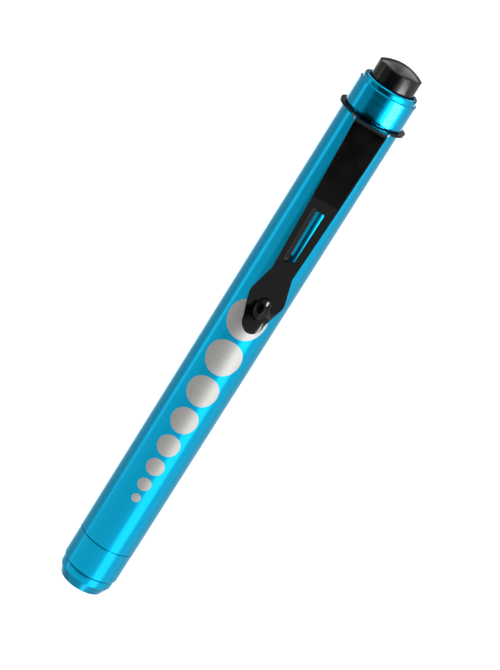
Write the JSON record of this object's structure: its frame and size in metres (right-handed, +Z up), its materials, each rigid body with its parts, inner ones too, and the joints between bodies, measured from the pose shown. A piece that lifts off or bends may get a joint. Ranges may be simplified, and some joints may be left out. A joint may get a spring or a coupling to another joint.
{
  "type": "pupil gauge penlight",
  "caption": "Slim blue aluminium medical penlight with a black spring clip, a push button at the tail and a row of round pupil-gauge dots along the barrel.",
  "frame": {"origin": "on the pen's axis, in the plane of the nose rim, a quarter of a millimetre below the lens's face", "axes": "+Z up the pen's axis from the light end to the push button; the spring clip faces -Y"},
  "size_m": [0.015, 0.0179, 0.132],
  "materials": {
    "anodised_blue": "glossy cyan-blue anodised, with fine turning lines",
    "black_plated_steel": "glossy black plated spring steel",
    "black_plastic": "glossy black",
    "white_nylon": "matt off-white",
    "seal_rubber": "matt black",
    "clear_acrylic": "clear, polished",
    "chromed_plastic": "vacuum-metallised mirror",
    "contact_brass": "satin brass",
    "nickel_plate": "nickel plated",
    "circuit_board": "green solder mask",
    "cell_sleeve": "dark satin printed sleeve"
  },
  "bodies": {
    "barrel": {"barrel_tube": "anodised_blue", "battery_front_cell": "cell_sleeve", "battery_front_terminal": "nickel_plate", "battery_rear_cell": "cell_sleeve", "battery_rear_terminal": "nickel_plate"},
    "head_seal": {"head_o_ring": "seal_rubber"},
    "head": {"head_shell": "anodised_blue", "lens_bezel": "anodised_blue", "lens": "clear_acrylic", "lens_gasket": "seal_rubber", "reflector": "chromed_plastic", "led_lamp": "clear_acrylic", "led_board": "circuit_board", "lamp_holder": "white_nylon", "front_contact_pin": "contact_brass"},
    "tail_seal": {"tail_o_ring": "seal_rubber"},
    "tail_cap": {"tail_cap_shell": "anodised_blue", "switch_housing": "white_nylon", "switch_retaining_ring": "contact_brass", "contact_disc": "contact_brass", "battery_spring": "nickel_plate", "button_spring": "nickel_plate"},
    "button": {"push_button": "black_plastic", "switch_plunger": "contact_brass"},
    "clip_collar": {"clip_collar": "black_plated_steel"},
    "clip_blade": {"clip_blade": "black_plated_steel"}
  },
  "joints": [
    {"name": "head_travel", "type": "slide", "parent": "barrel", "child": "head_seal", "axis": [0, 0, -1], "range_m": [0, 0.006]},
    {"name": "head_unscrew", "type": "hinge", "parent": "head_seal", "child": "head", "pos_m": [0, 0, 0.01165], "axis": [0, 0, -1], "range_deg": [0, 2160]},
    {"name": "cap_travel", "type": "slide", "parent": "barrel", "child": "tail_seal", "axis": [0, 0, 1], "range_m": [0, 0.007]},
    {"name": "cap_unscrew", "type": "hinge", "parent": "tail_seal", "child": "tail_cap", "pos_m": [0, 0, 0.1202], "axis": [0, 0, 1], "range_deg": [0, 2520]},
    {"name": "button_press", "type": "slide", "parent": "tail_cap", "child": "button", "axis": [0, 0, -1], "range_m": [0, 0.0015], "stiffness_N_per_m": 800, "deforming": ["button_spring"]},
    {"name": "clip_swivel", "type": "hinge", "parent": "barrel", "child": "clip_collar", "pos_m": [0, 0, 0.11965], "axis": [0, 0, 1], "continuous": true},
    {"name": "clip_flex", "type": "hinge", "parent": "clip_collar", "child": "clip_blade", "pos_m": [0, -0.0102, 0.1182], "axis": [-1, 0, 0], "range_deg": [0, 4], "stiffness_Nm_per_rad": 3}
  ],
  "couplings": [
    {"joint": "head_unscrew", "follows": "head_travel", "rad_per_m": 6283.2},
    {"joint": "cap_unscrew", "follows": "cap_travel", "rad_per_m": 6283.2}
  ]
}
